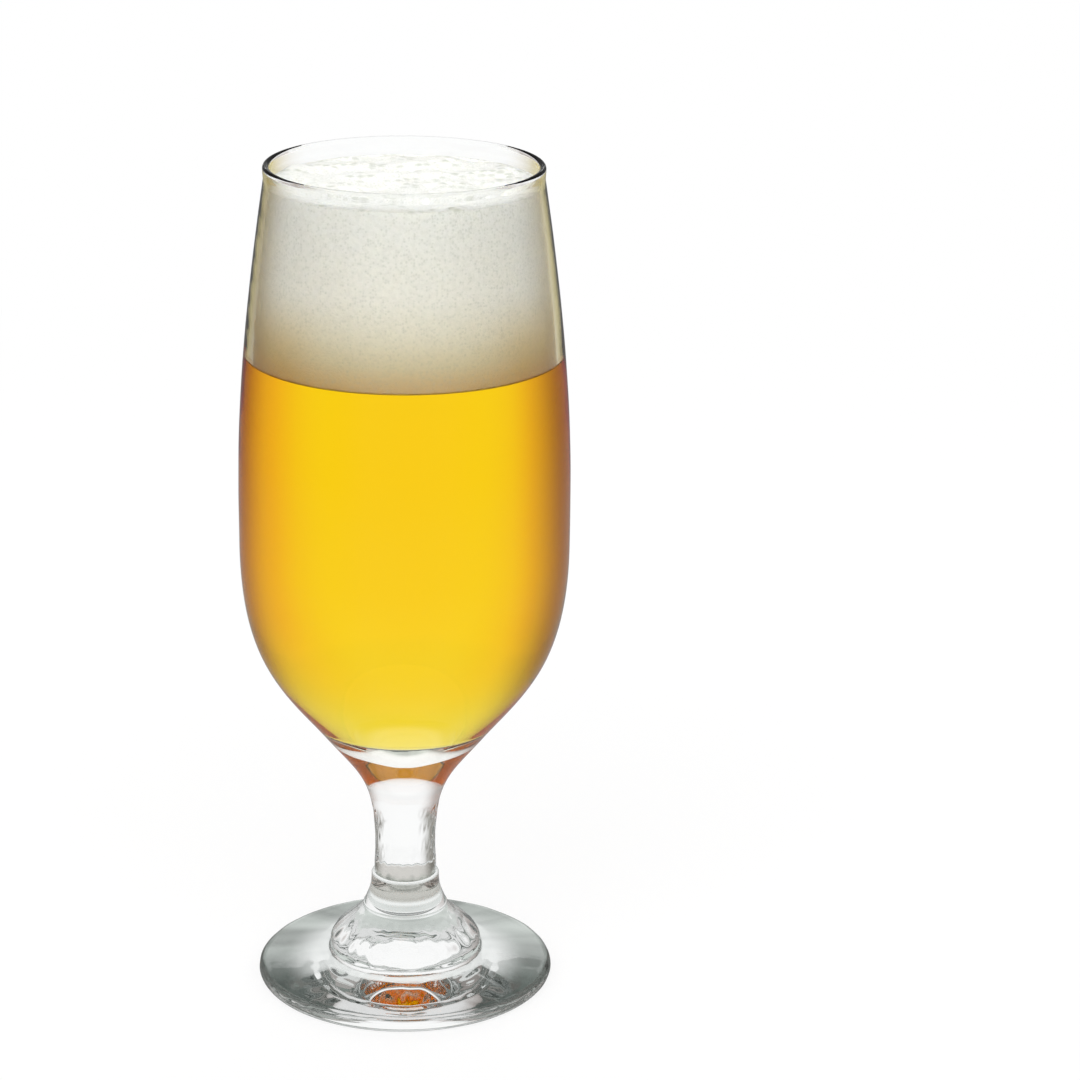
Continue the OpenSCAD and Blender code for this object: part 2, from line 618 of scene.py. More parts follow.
@dataclass(frozen=True)
class EdgeShadeTint:
    """Painted shade that a clear surface takes where it is seen along its skin; held at full facing, a tint
    by height.

    It goes from none to full between two facing values and between two heights in millimetres.
    """

    # Grey-green painted shade where the glass is seen along its skin.
    colour: Colour = (0.30, 0.33, 0.31)
    start: float = 0.72
    end: float = 1.0
    low: float = -2.0
    high: float = -1.0

    def over(self, clear: Value, facing: Value, desk: Desk, groups: SharedGroups) -> Socket:
        """Lays the edge colour over the clear colour by the facing value and the height."""
        return desk.group(groups.edge_shade_tint, Facing=facing, Start=self.start, End=self.end,
                          Low=self.low * MM, High=self.high * MM, Clear=clear, Edge=self.colour)["Color"]


@dataclass(frozen=True)
class GlassFinish:
    """Clear glass with painted shade where it is seen along its skin.

    Streaks have a scale, a stretch and a depth. Wetted glass mirrors only what it reflects totally.
    Between the two collar heights the glass takes a darker band of painted shade. A film is the tint
    of a thin layer of beer, with painted shade of the foam's sides behind it, and between two ray
    depths, light that is thrown about inside the glass is dimmed as painted shade.
    """

    name: str
    clear: Colour = (0.993, 1.0, 0.997)
    # Painted shade where the glass is seen along its skin.
    edge: EdgeShadeTint = EdgeShadeTint()
    ior: float = 1.5
    streaks: tuple[float, float, float] = (60.0, 0.4, 0.25)
    streak_bump: float = 0.3
    wetted: bool = False
    # Darker band between two heights: painted shade.
    collar_shade: tuple[float, float] | None = None
    collar_shade_colour: Colour = (0.42, 0.40, 0.36)
    collar_shade_soft: float = 0.35
    # Tint of a thin film of beer, with painted shade of the foam's sides behind it.
    film: EdgeShadeTint | None = None
    # Light bounced about inside the glass between these ray depths is darkened: painted shade.
    bounce_shade: tuple[float, float] | None = None
    bounce_shade_colour: Colour = (0.05, 0.06, 0.055)

    def collar_shade_share(self, desk: Desk) -> Socket:
        """Share of the collar's painted shade, which is 1 between its two heights.

        Args:
            desk: Desk of the material.

        Returns:
            The share.
        """
        z = desk.axes(desk.place())[2]
        (low, low_end), (high, high_end) = (
            ((edge - self.collar_shade_soft) * MM, (edge + self.collar_shade_soft) * MM) for edge in self.collar_shade)
        return desk.times(desk.span(z, low, low_end), desk.span(z, high, high_end, 1.0, 0.0))

    def make(self, groups: SharedGroups) -> Material:
        """Builds the material.

        Args:
            groups: Shared node groups.

        Returns:
            The material.
        """
        material, desk, shader = new_material(self.name)
        facing = desk.facing()
        # Painted shade where the glass is seen along its skin.
        colour = self.edge.over(self.clear, facing, desk, groups)
        # Darker band between two heights: painted shade.
        if self.collar_shade:
            colour = desk.mix(self.collar_shade_share(desk), colour, self.collar_shade_colour)
        # Tint of a thin film of beer, with painted shade of the foam's sides behind it.
        if self.film:
            colour = desk.tinted(colour, self.film.over(WHITE, facing, desk, groups))
        # Light bounced about inside the glass is darkened: painted shade.
        if self.bounce_shade:
            bounce_share = desk.span(desk.add("LightPath").outputs["Ray Depth"], *self.bounce_shade)
            colour = desk.tinted(colour, desk.mix(bounce_share, WHITE, self.bounce_shade_colour))
        scale, stretch, depth = self.streaks
        melt = desk.group(groups.melt, Scale=scale, Stretch=stretch, Depth=depth)
        desk.fill(shader, Base_Color=colour, Normal=desk.bump(melt["Height"], self.streak_bump, 1.0),
                  Roughness=0.0, IOR=self.ior, Transmission_Weight=1.0)
        if self.wetted:
            critical = 1 - math.sqrt(1 - 1 / self.ior**2)
            behind = desk.add("NewGeometry").outputs["Backfacing"]
            total = desk.times(desk.math("GREATER_THAN", facing, critical), behind)
            desk.fill(shader, Specular_Tint=desk.mix(total, BLACK, WHITE))
        return material


@dataclass(frozen=True)
class FusedFinish:
    """Faces inside the glass where two gathers are fused, which show nothing."""

    name: str = "fused_joint"

    def make(self) -> Material:
        """Builds the material.

        Returns:
            The material.
        """
        material, desk, shader = new_material(self.name)
        desk.fill(shader, Alpha=0.0, IOR=1.0)
        return material


@dataclass(frozen=True)
class BeerFinish:
    """Golden beer, coloured by its depth and tinted in its upper part, with painted amber shade along its
    skin.
    """

    name: str = "golden_beer"
    ior: float = 1.34
    upper: EdgeShadeTint = EdgeShadeTint((1.0, 0.87, 0.20), 0.0, 0.5, 54.0, 84.0)
    # Deeper amber where the beer is seen along its skin: painted shade.
    painted_amber_shade: EdgeShadeTint = EdgeShadeTint((0.93, 0.47, 0.15), 0.06, 0.19, 68.0, 92.0)
    absorbs: Colour = (1.0, 0.94, 0.25)
    density: float = 80.0

    def make(self, groups: SharedGroups) -> Material:
        """Builds the material.

        Args:
            groups: Shared node groups.

        Returns:
            The material.
        """
        material, desk, shader = new_material(self.name)
        skin = self.upper.over(WHITE, 1.0, desk, groups)
        # Painted amber shade along the beer's skin, over the tint by height.
        desk.fill(shader, Base_Color=self.painted_amber_shade.over(skin, desk.facing(), desk, groups), Roughness=0.0,
                  IOR=self.ior, Specular_Tint=BLACK, Transmission_Weight=1.0)
        inside = desk.fill(desk.add("VolumeAbsorption"), Color=self.absorbs, Density=self.density)
        desk.fill(desk.find("OUTPUT_MATERIAL"), Volume=inside.outputs[0])
        return material


@dataclass(frozen=True)
class FoamFinish:
    """Fine white foam, beige at its low height where it meets the beer: partly its wet beer colour, partly
    painted light of the beer's glow.

    Fine bubbles, and large ones on the top, have a scale, a share that has burst and a depth of
    painted shade in the burst pits. Grain has a scale, a detail and a depth, a bump its strength and
    height, and the light scattered inside its share, the radius of each colour and its reach.
    """

    low: float
    high: float
    name: str = "beer_foam"
    # Beige and darker towards the beer: partly the wet foam's beer colour, partly painted light of the
    # beer's glow.
    wet_tone_and_glow_layers: Stops = (
        (0.0, (0.60, 0.42, 0.18)), (0.07, (0.65, 0.53, 0.30)), (0.14, (0.69, 0.64, 0.46)),
        (0.26, (0.79, 0.765, 0.63)), (0.50, (0.90, 0.875, 0.79)), (1.0, (0.90, 0.905, 0.865)),
    )
    # Painted shade in burst bubble pits; the grain mixes in the same colour as tone that differs at random.
    pit_shade_and_grain_colour: Colour = (0.42, 0.45, 0.36)
    fine: tuple[float, float, float] = (2000.0, 0.30, 0.25)
    large: tuple[float, float, float] = (520.0, 0.34, 0.5)
    top: tuple[float, float] = (0.955, 0.985)
    grain: tuple[float, float, float] = (1100.0, 3.0, 0.10)
    grain_span: tuple[float, float] = (0.35, 0.60)
    bump: tuple[float, float] = (0.35, 0.2)
    scatter: tuple[float, Colour, float] = (0.4, (1.0, 0.9, 0.7), 1.5)
    roughness: float = 0.6

    def make(self, groups: SharedGroups) -> Material:
        """Builds the material.

        Args:
            groups: Shared node groups.

        Returns:
            The material.
        """
        material, desk, shader = new_material(self.name)
        place = desk.place()
        height = desk.work("MapRange", desk.axes(place)[2], self.low * MM, self.high * MM)
        (scale, burst, depth), (top_scale, top_burst, top_depth) = self.fine, self.large
        fine = desk.group(groups.bubbles, Scale=scale, Burst=burst)
        large = desk.group(groups.bubbles, Scale=top_scale, Burst=top_burst)
        on_top = desk.times(large["Pit"], desk.span(height, *self.top))
        # Burst bubble pits, darkened below as painted shade.
        pit_shade = desk.most(desk.times(fine["Pit"], depth), desk.times(on_top, top_depth))
        grain_scale, detail, grain_depth = self.grain
        grain = desk.span(desk.noise(place, grain_scale, detail), *self.grain_span, grain_depth, 0.0)
        # Painted shade in the pits and random grain tone, over the tones by height.
        colour = desk.mix(desk.math("ADD", pit_shade, grain), desk.ramp(height, self.wet_tone_and_glow_layers), self.pit_shade_and_grain_colour)
        share, radius, reach = self.scatter
        desk.fill(shader, Base_Color=colour, Normal=desk.bump(fine["Dome"], *self.bump),
                  Roughness=self.roughness, Subsurface_Weight=share, Subsurface_Radius=radius,
                  Subsurface_Scale=reach * MM)
        return material


@dataclass(frozen=True)
class PaintedGlowFoamFinish:
    """Underside of the foam in the beer: brighter colour and a painted glow for the light the beer
    scatters.
    """

    name: str = "foam_underside_painted_glow"
    # Brighter copy of the foam's colour, lighter in each bubble's middle: painted light.
    painted_lit_colour: Colour = (0.95, 0.85, 0.60)
    painted_lit_wall_colour: Colour = (0.80, 0.66, 0.42)
    # Painted glow, though the foam is no lamp.
    painted_glow: Colour = (0.22, 0.15, 0.06)
    bubble_scale: float = 1400.0
    burst_share: float = 0.10
    roughness: float = 0.6

    def make(self, groups: SharedGroups) -> Material:
        """Builds the material.

        Args:
            groups: Shared node groups.

        Returns:
            The material.
        """
        material, desk, shader = new_material(self.name)
        fine = desk.group(groups.bubbles, Scale=self.bubble_scale, Burst=self.burst_share)
        # Brighter colour and emission paint the light that the beer scatters onto the foam.
        desk.fill(shader, Base_Color=desk.mix(fine["Dome"], self.painted_lit_wall_colour, self.painted_lit_colour), Roughness=self.roughness,
                  Emission_Color=self.painted_glow, Emission_Strength=1.0)
        return material


def dress(piece: Piece, node: Node, materials: dict[Face, Material]) -> None:
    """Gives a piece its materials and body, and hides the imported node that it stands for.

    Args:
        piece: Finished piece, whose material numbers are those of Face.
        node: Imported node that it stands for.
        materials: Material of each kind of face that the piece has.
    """
    numbers = np.zeros(len(piece.data.polygons), np.int32)
    piece.data.polygons.foreach_get("material_index", numbers)
    order = np.zeros(len(Face), np.int32)
    for place, (face, material) in enumerate(materials.items()):
        order[face.value] = place
        piece.data.materials.append(material)
    piece.data.polygons.foreach_set("material_index", order[numbers])
    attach(piece, BODY)
    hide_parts(node.value)
    LOG.info("%s stands for %s, %d faces", piece.name, node.value, len(piece.data.polygons))


@dataclass
class Foot:
    """Pressed foot: a disc with a round edge, a dome, a seam ring and a short neck."""

    diameter: float = node_diameter(Node.FOOT)
    height: float = node_heights(Node.FOOT)[1]
    edge_thickness: float = 3.4
    disc_height: float = 6.0
    dome_diameter: float = 33.2
    shoulder_height: float = 7.4
    dome_fillet: float = 2.6
    dome_pull_up: float = 3.3
    dome_pull_out: float = 2.2
    dome_pull_down: float = 3.1
    neck_low_diameter: float = 18.0
    neck_high_diameter: float = 14.8
    neck_pull: float = 3.0
    neck_pull_in: float = 1.2
    neck_rounding: float = 0.5
    seam_height: float = 16.8
    seam_thickness: float = 0.7
    seam_stands_out: float = 0.25
    seam_turn: float = 60.0
    hollow_diameter: float = 30.0
    hollow_height: float = 1.5
    waves: Waves = Waves(0.10, seed=11, counts=(3, 5, 8, 13, 19, 28), longest=40.0, twist=0.25)
    hollow_waves: Waves = Waves(0.05, seed=12, counts=(3, 4, 6, 9), longest=14.0)

    @property
    def edge_mid(self) -> Point:
        """Centre of the rounded edge in the half section."""
        return (self.diameter / 2 - self.edge_thickness / 2, self.edge_thickness / 2)

    @property
    def seam_start(self) -> Point:
        """Point where the dome meets the seam ring."""
        return (self.neck_low_diameter / 2 + self.seam_stands_out, self.seam_height - self.seam_thickness)

    def underside(self) -> list[Run]:
        """Shallow hollow in the middle and the level face that the glass rests on.

        Returns:
            The two runs.
        """
        r, z = self.hollow_diameter / 2, self.hollow_height
        hollow = curve((0, z), (r / 2, z), (r / 2, 0), (r, 0), 24)
        level = line((r, 0), (self.edge_mid[0], 0), 12)
        return [Run(hollow, waves=self.hollow_waves, crease=False), Run(level)]

    def upper_side(self) -> Run:
        """Rounded edge, upper face and dome up to the seam ring.

        Returns:
            The run.
        """
        edge_mid = self.edge_mid
        dome_r = self.dome_diameter / 2
        seam_r, seam_low = self.seam_start
        corner, shoulder = (dome_r, self.disc_height), (dome_r, self.shoulder_height)
        fillet_start = (dome_r + self.dome_fillet, self.disc_height)
        return Run(joined(
            arc(edge_mid, edge_mid[1], -90, 90, 32),
            line((edge_mid[0], self.edge_thickness), fillet_start, 16),
            curve(fillet_start, corner, corner, shoulder, 24),
            curve(shoulder, (dome_r, self.shoulder_height + self.dome_pull_up),
                  (seam_r + self.dome_pull_out, seam_low - self.dome_pull_down), self.seam_start),
        ), waves=self.waves)

    def neck(self, stem_r: float) -> list[Run]:
        """Seam ring, neck with the narrow step round the stem, and the face fused to the stem.

        Args:
            stem_r: Radius of the stem's lower end.

        Returns:
            The three runs.
        """
        seam_r = self.seam_thickness / 2
        base_r, top_r = self.neck_low_diameter / 2, self.neck_high_diameter / 2
        round_r, round_z = top_r - self.neck_rounding, self.height - self.neck_rounding
        ring_mid = (base_r + self.seam_stands_out - seam_r, self.seam_height - seam_r)
        ring = arc(ring_mid, seam_r, 0, self.seam_turn, 8)
        low_end = (base_r, self.seam_height)
        side = joined(
            curve(low_end, (base_r - self.neck_pull_in, self.seam_height + self.neck_pull),
                  (top_r, round_z - self.neck_pull), (top_r, round_z), 24),
            arc((round_r, round_z), self.neck_rounding, 0, 90, 8),
            line((round_r, self.height), (stem_r, self.height), 2),
        )
        ring = joined(line(self.seam_start, ring[0], 1), ring, line(ring[-1], low_end, 1))
        fused = line((stem_r, self.height), (0, self.height), 6)
        return [Run(ring), Run(side), Run(fused, Face.FUSED)]

    def build(self, stem_r: float) -> Piece:
        """Builds the foot's mesh round the stem's radius."""
        runs = [*self.underside(), self.upper_side(), *self.neck(stem_r)]
        return turned_solid("pressed_foot", runs)


@dataclass
class Goblet:
    """Stem and bowl, whose outside is one flowing line from the foot to the lip."""

    stem_z: float = node_heights(Node.STEM)[0]
    bowl_z: float = node_heights(Node.BOWL)[0]
    rim_z: float = node_heights(Node.BOWL)[1]
    belly_d: float = node_diameter(Node.BOWL)
    floor_z: float = node_heights(Node.BEER)[0] - FILM_GAP
    stem_foot_d: float = 13.5
    waist_d: float = 13.1
    waist_rise: float = 6.5
    flare_d: float = 35.0
    flare_rise: float = 15.0
    belly_rise: float = 59.0
    belly_wall: float = 2.1
    rim_d: float = 58.4
    rim_wall: float = 1.2
    lip_t: float = 1.4
    lip_blend: float = 2.4
    stem_pull: float = 2.5
    waist_pull_up: float = 15.3
    flare_pull_down: float = 9.0
    flare_pull_up: float = 12.0
    flare_lean: float = 0.8
    belly_pull_down: float = 26.5
    belly_pull_up: float = 16.0
    rim_pull_down: float = 46.0
    taper: float = 1.1
    cup_pull_down: float = 26.0
    cup_pull_up: float = 8.0
    cup_lean: float = 0.85
    flare_wall: float = 3.9
    cone_round: float = 1.5
    tip_d: float = 5.0
    outer_waves: Waves = Waves(0.02, seed=21)
    inner_waves: Waves = Waves(0.03, seed=22)
    stem_waves: Waves = Waves(0.12, seed=23, counts=(7, 11, 16, 22), longest=14.0, twist=0.12)

    @property
    def belly_z(self) -> float:
        """Height of the widest part."""
        return self.bowl_z + self.belly_rise

    @property
    def lip_mid(self) -> Point:
        """Centre of the rounded lip in the half section."""
        return (self.rim_d / 2 - self.lip_t / 2, self.rim_z - self.lip_t / 2)

    def taper_up(self, belly_r: float, wall_r: float) -> np.ndarray:
        """One side of the wall from the belly up to where the lip starts to thicken.

        Args:
            belly_r: Radius at the belly.
            wall_r: Radius below the lip.

        Returns:
            Rows of radius and height.
        """
        top_z, pull_z = self.lip_mid[1] - self.lip_blend, self.lip_mid[1] - self.rim_pull_down
        return curve((belly_r, self.belly_z), (belly_r, self.belly_z + self.belly_pull_up),
                     (wall_r + self.taper * (belly_r - wall_r), pull_z), (wall_r, top_z), 96)

    def outside(self) -> np.ndarray:
        """Outside from the foot up to below the lip.

        Returns:
            Rows of radius and height.
        """
        foot_r, belly_r = self.stem_foot_d / 2, self.belly_d / 2
        waist_r, waist_z = self.waist_d / 2, self.stem_z + self.waist_rise
        flare = np.array((self.flare_d / 2, self.bowl_z + self.flare_rise))
        lean = np.array((self.flare_lean, 1.0))
        return joined(
            curve((foot_r, self.stem_z), (foot_r, self.stem_z + self.stem_pull),
                  (waist_r, waist_z - self.stem_pull), (waist_r, waist_z), 24),
            curve((waist_r, waist_z), (waist_r, waist_z + self.waist_pull_up),
                  flare - self.flare_pull_down * lean, flare),
            curve(flare, flare + self.flare_pull_up * lean,
                  (belly_r, self.belly_z - self.belly_pull_down), (belly_r, self.belly_z)),
            self.taper_up(belly_r, self.lip_mid[0] + self.rim_wall / 2),
        )

    def inside(self, gap: float = 0.0) -> np.ndarray:
        """Inside from the middle of the floor up to below the lip.

        Args:
            gap: How far it is moved in, in millimetres.

        Returns:
            Rows of radius and height.
        """
        inside_r = self.belly_d / 2 - self.belly_wall - gap
        floor_z = self.floor_z + gap
        tip_turn = np.array((self.tip_d / 4, floor_z))
        corner = np.array((self.flare_d / 2 - gap, self.bowl_z + self.flare_rise + self.flare_wall + gap))
        outward = (corner - tip_turn) / (corner[0] - tip_turn[0])
        upward = np.array((self.cup_lean, 1.0))
        tip_end = tip_turn + self.tip_d / 4 * outward
        cone_end = corner - self.cone_round * outward
        wall_start = corner + self.cone_round * upward
        return joined(
            curve((0, floor_z), tip_turn, tip_turn, tip_end, 12),
            line(tip_end, cone_end, 12),
            curve(cone_end, corner, corner, wall_start, 12),
            curve(wall_start, wall_start + self.cup_pull_up * upward,
                  (inside_r, self.belly_z - self.cup_pull_down), (inside_r, self.belly_z), 96),
            self.taper_up(inside_r, self.lip_mid[0] - self.rim_wall / 2 - gap),
        )

    def lip(self, out_end: Point, in_end: Point) -> list[Run]:
        """Lip that swells from the wall into a round edge and back.

        Args:
            out_end: Upper end of the wall's outside.
            in_end: Upper end of its inside.

        Returns:
            The runs up the outside, over the edge and down the inside.
        """
        (r, z), half, pull = self.lip_mid, self.lip_t / 2, self.lip_blend / 2
        swell = curve(out_end, (out_end[0], out_end[1] + pull), (r + half, z - pull), (r + half, z), 12)
        ease = curve((r - half, z), (r - half, z - pull), (in_end[0], in_end[1] + pull), in_end, 12)
        return [Run(swell, crease=False), Run(arc((r, z), half, 0, 180, 24), Face.LIP, crease=False),
                Run(ease, crease=False)]

    def stem_radius(self, height: float) -> float:
        """Radius of the outside at a height."""
        r, z = self.outside().T
        return float(np.interp(height, z, r))

    def build_stem(self) -> Piece:
        """Builds the stem's mesh, fused at both ends.

        Returns:
            The stem.
        """
        side = between(self.outside(), self.stem_z, self.bowl_z)
        return turned_solid("drawn_stem", [
            Run(line((0, self.stem_z), side[0], 6), Face.FUSED),
            Run(side, waves=self.stem_waves),
            Run(line(side[-1], (0, self.bowl_z), 6), Face.FUSED),
        ])

    def build_bowl(self, drink_z: float) -> Piece:
        """Builds the bowl's mesh, fused to the stem below.

        Args:
            drink_z: Height up to which the beer wets it. The foam leaves a film over that.

        Returns:
            The bowl.
        """
        outer, inner = between(self.outside(), low=self.bowl_z), self.inside()
        filmed, wet = between(inner, low=drink_z), between(inner, high=drink_z)
        return turned_solid("blown_bowl", [
            Run(line((0, self.bowl_z), outer[0], 6), Face.FUSED),
            Run(outer, waves=self.outer_waves, crease=False),
            *self.lip(outer[-1], inner[-1]),
            Run(filmed[::-1], Face.FILMED, waves=self.inner_waves, crease=False),
            Run(wet[::-1], Face.WETTED),
        ])


@dataclass
class Beer:
    """Beer up to the foam. It soaks into the glass a little, so that light goes straight across."""

    goblet: Goblet
    top_z: float = node_heights(Node.BEER)[1]
    soak: float = 0.08

    def build(self) -> Piece:
        """Builds the beer's mesh."""
        side = between(self.goblet.inside(-self.soak), high=self.top_z)
        return turned_solid("golden_beer", [Run(side), Run(line(side[-1], (0, self.top_z), 12))])


@dataclass
class Foam:
    """Head of foam: a smooth side behind the glass and an uneven top with burst bubbles.

    It dips into the beer, and its top is rounded over at the shoulder. A wave's rate is in radians
    for each millimetre, and a crater's depth is a share of its radius.
    """

    goblet: Goblet
    low_z: float = node_heights(Node.FOAM_HEAD)[0]
    high_z: float = node_heights(Node.FOAM_HEAD)[1]
    gap: float = 0.10
    dip: float = 0.3
    shoulder: float = 1.0
    pulls: tuple[float, float] = (0.6, 0.4)
    segments: int = 384
    top_rings: int = 120
    waves: int = 14
    wave_rate: float = 0.35
    wave_height: float = 0.10
    craters: int = 90
    crater_radii: tuple[float, float] = (0.6, 2.2)
    crater_depth: float = 0.30
    seed: int = 41

    def top_heights(self, x: np.ndarray, y: np.ndarray) -> np.ndarray:
        """Height of the foam's top against its highest point.

        Formula: a sum of long waves, less a dish (1 - d^2)^2 for each burst bubble at distance d
        in its own radii.

        Args:
            x: Places in millimetres.
            y: Places in millimetres.

        Returns:
            Heights in millimetres, all at or below zero.
        """
        draw = np.random.default_rng(self.seed)
        height = np.zeros_like(x)
        for _ in range(self.waves):
            kx, ky = draw.normal(0, self.wave_rate, 2)
            height += self.wave_height * np.cos(kx * x + ky * y + draw.uniform(0, 2 * np.pi))
        reach = self.goblet.rim_d / 2
        for _ in range(self.craters):
            cx, cy = draw.uniform(-reach, reach, 2)
            wide = draw.uniform(*self.crater_radii)
            near = np.clip(1 - ((x - cx) ** 2 + (y - cy) ** 2) / wide**2, 0, 1)
            height -= self.crater_depth * wide * near**2
        return height - height.max()

    def build(self) -> Piece:
        """Builds the foam's mesh.

        Returns:
            The foam.
        """
        wall = between(self.goblet.inside(self.gap), self.low_z - self.dip, self.high_z - self.shoulder)
        (r, z), (up, across) = wall[-1], self.pulls
        rounding = curve((r, z), (r, z + up * self.shoulder), (r - across * self.shoulder, self.high_z),
                         (r - self.shoulder, self.high_z), 10)
        top = line(rounding[-1], (0, self.high_z), self.top_rings)
        piece = turned_solid("foam_crown", [
            Run(line((0, self.low_z - self.dip), wall[0], 12), Face.WETTED),
            Run(joined(wall, rounding, top)),
        ], self.segments)
        self.roughen(piece)
        return piece

    def roughen(self, piece: Piece) -> None:
        """Moves the points of the top by top_heights, held at the shoulder.

        Args:
            piece: The foam.
        """
        flat = np.zeros(3 * len(piece.data.vertices))
        piece.data.vertices.foreach_get("co", flat)
        co = flat.reshape(-1, 3)
        x, y, z = co.T / MM
        share = smooth_step((z - (self.high_z - self.shoulder)) / self.shoulder)
        co[:, 2] += MM * share * self.top_heights(x, y)
        piece.data.vertices.foreach_set("co", co.ravel())
        piece.data.update()


@dataclass(frozen=True)
class PhotoCamera:
    """Camera at the photograph's viewing angle, with its angles in degrees."""

    place: tuple[float, float, float] = (0.0288, -0.6826, 0.3278)
    pitch: float = -18.39
    roll: float = 0.70
    lens: float = 112.5
    sensor: float = 36.0
    clip_start: float = 0.01

    def build(self) -> None:
        """Makes the camera and sets it as the scene's."""
        data = bpy.data.cameras.new("photo_camera")
        data.lens, data.sensor_width, data.clip_start = self.lens, self.sensor, self.clip_start
        camera = put("photo_camera", data)
        tilt = Matrix.Rotation(math.radians(90 + self.pitch), 4, "X")
        roll = Matrix.Rotation(math.radians(self.roll), 4, "Z")
        camera.matrix_world = Matrix.Translation(self.place) @ tilt @ roll
        bpy.context.scene.camera = camera


@dataclass(frozen=True)
class EyeRays:
    """Shares of the rays that show the surroundings before any matt surface is met."""

    direct: Socket
    clear: Socket
    mirrored: Socket

    @classmethod
    def of(cls, desk: Desk) -> "EyeRays":
        """Reads the light path.

        Args:
            desk: Desk of the tree.

        Returns:
            Rays straight from the eye, those through glass and those off its skin.
        """
        path = desk.add("LightPath").outputs
        fresh = desk.math("LESS_THAN", path["Diffuse Depth"], 0.5)
        return cls(path["Is Camera Ray"], desk.times(path["Is Transmission Ray"], fresh),
                   desk.times(path["Is Reflection Ray"], fresh))


@dataclass(frozen=True)
class Lamp:
    """Soft rectangular lamp that points at the glass and isn't seen in it."""

    name: str
    place: tuple[float, float, float]
    size: float
    watts: float
    aim: tuple[float, float, float] = (0.0, 0.0, 0.1)

    def build(self) -> None:
        """Makes the lamp."""
        data = bpy.data.lights.new(self.name, "AREA")
        data.shape = "RECTANGLE"
        data.size = data.size_y = self.size
        data.energy = self.watts
        lamp = put(self.name, data)
        lamp.visible_glossy = lamp.visible_transmission = False
        turn = (Vector(self.aim) - Vector(self.place)).to_track_quat("-Z", "Y")
        lamp.matrix_world = Matrix.Translation(self.place) @ turn.to_matrix().to_4x4()


